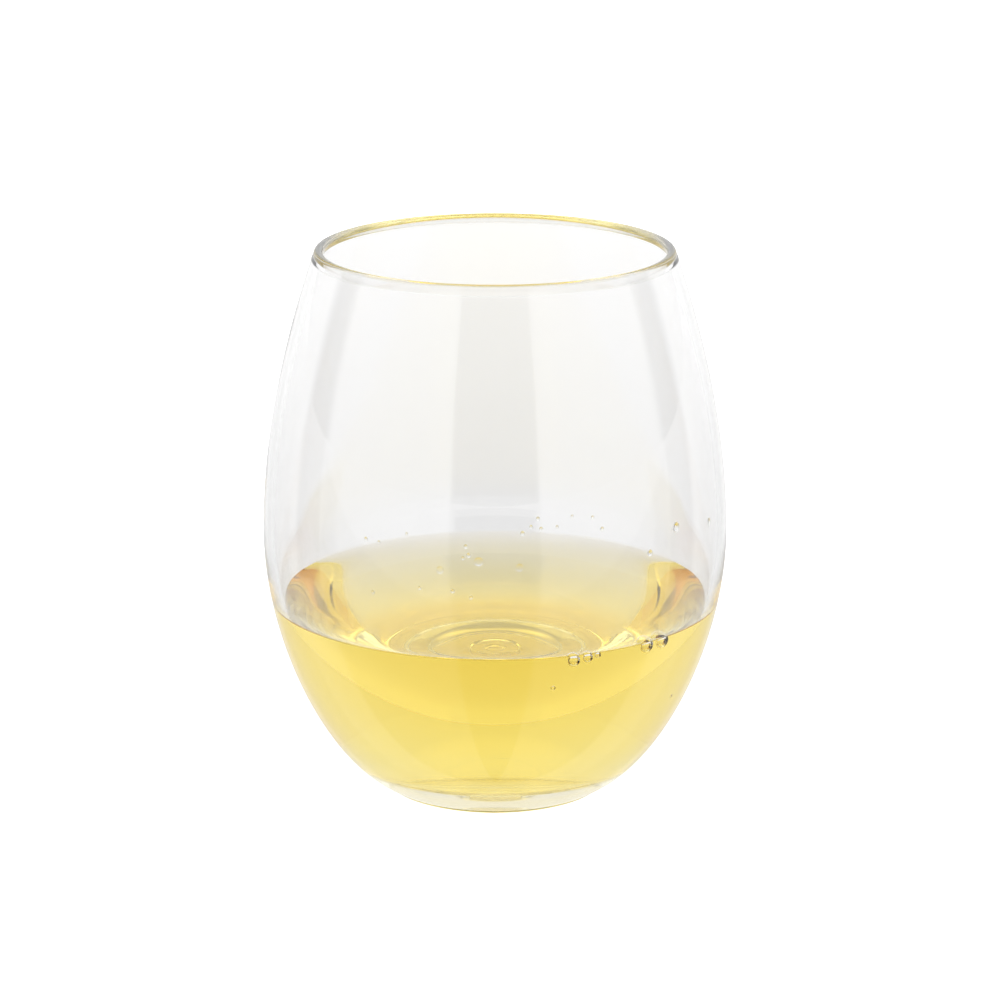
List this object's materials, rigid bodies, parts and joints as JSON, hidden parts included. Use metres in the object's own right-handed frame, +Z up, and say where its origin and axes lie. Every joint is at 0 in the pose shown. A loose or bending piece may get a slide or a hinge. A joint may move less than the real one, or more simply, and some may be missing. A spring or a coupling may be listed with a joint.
{
  "type": "plastic tumbler",
  "caption": "Stemless egg-shaped drinking tumbler moulded in clear plastic, with a thick heel and a drawn-in rim, holding a pale yellow drink.",
  "frame": {"origin": "middle of the foot, at the height of the table that the tumbler stands on", "axes": "+Z up along the tumbler's axis, towards the rim; it is round, so X and Y point any way across it"},
  "size_m": [0.0894, 0.0894, 0.106],
  "materials": {
    "clear_plastic": "polished",
    "pale_yellow_drink": "polished"
  },
  "bodies": {
    "root": {"tumbler": "clear_plastic", "drink": "pale_yellow_drink"}
  },
  "joints": []
}
